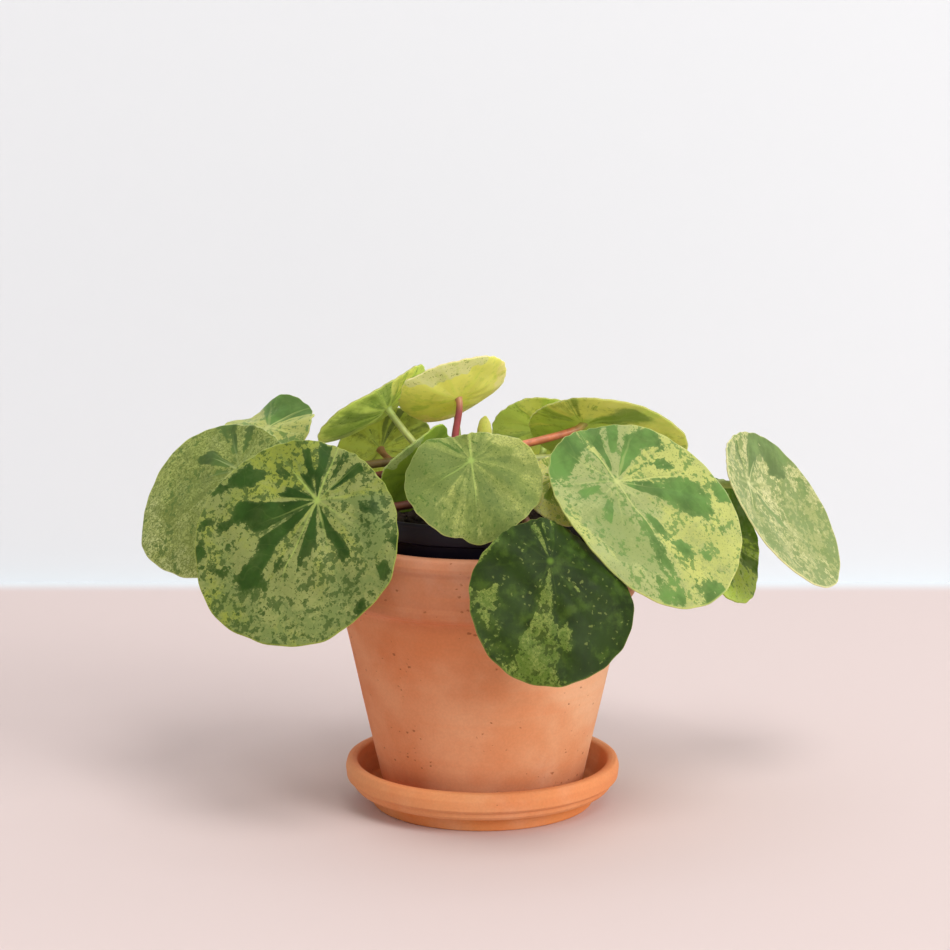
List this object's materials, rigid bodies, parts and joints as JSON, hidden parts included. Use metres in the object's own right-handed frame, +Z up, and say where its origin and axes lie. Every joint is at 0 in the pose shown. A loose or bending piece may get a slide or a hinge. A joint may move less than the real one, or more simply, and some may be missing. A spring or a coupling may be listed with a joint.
{
  "type": "potted plant",
  "caption": "Variegated pilea with round leaves on long arching stalks, in a black nursery pot set in a tapered clay pot with a rolled saucer",
  "frame": {"origin": "centre of the saucer's flat underside", "axes": "+Z up, the plant's front faces -Y, +X to the right seen from the front"},
  "size_m": [0.3228, 0.2253, 0.2061],
  "materials": {
    "saucer_clay": "matte",
    "pot_clay": "matte",
    "nursery_plastic": "satin",
    "soil": "matte",
    "bark": "matte",
    "stalk_red": "satin",
    "stalk_green": "satin",
    "leaf_mottled": "satin",
    "leaf_grey_green": "satin",
    "leaf_cream": "satin",
    "leaf_deep": "satin",
    "leaf_soft": "satin",
    "leaf_fresh": "satin",
    "leaf_yellow": "satin"
  },
  "bodies": {
    "root": {"saucer": "saucer_clay", "clay_pot": "pot_clay", "nursery_pot": "nursery_plastic", "soil": "soil", "trunk": "bark", "leaf_01_blade": "leaf_mottled", "leaf_01_petiole": "stalk_red", "leaf_02_blade": "leaf_grey_green", "leaf_02_petiole": "stalk_green", "leaf_03_blade": "leaf_cream", "leaf_03_petiole": "stalk_red", "leaf_04_blade": "leaf_deep", "leaf_04_petiole": "stalk_red", "leaf_05_blade": "leaf_soft", "leaf_05_petiole": "stalk_green", "leaf_06_blade": "leaf_cream", "leaf_06_petiole": "stalk_green", "leaf_07_blade": "leaf_fresh", "leaf_07_petiole": "stalk_green", "leaf_08_blade": "leaf_soft", "leaf_08_petiole": "stalk_green", "leaf_09_blade": "leaf_grey_green", "leaf_09_petiole": "stalk_green", "leaf_10_blade": "leaf_fresh", "leaf_10_petiole": "stalk_green", "leaf_11_blade": "leaf_mottled", "leaf_11_petiole": "stalk_red", "leaf_12_blade": "leaf_fresh", "leaf_12_petiole": "stalk_green", "leaf_13_blade": "leaf_yellow", "leaf_13_petiole": "stalk_red", "leaf_14_blade": "leaf_fresh", "leaf_14_petiole": "stalk_green", "leaf_15_blade": "leaf_fresh", "leaf_15_petiole": "stalk_red", "leaf_16_blade": "leaf_yellow", "leaf_16_petiole": "stalk_green", "leaf_17_blade": "leaf_fresh", "leaf_17_petiole": "stalk_green", "leaf_18_blade": "leaf_mottled", "leaf_18_petiole": "stalk_red", "leaf_19_blade": "leaf_cream", "leaf_19_petiole": "stalk_green", "leaf_20_blade": "leaf_deep", "leaf_20_petiole": "stalk_green", "leaf_21_blade": "leaf_grey_green", "leaf_21_petiole": "stalk_red", "leaf_22_blade": "leaf_soft", "leaf_22_petiole": "stalk_green"}
  },
  "joints": []
}
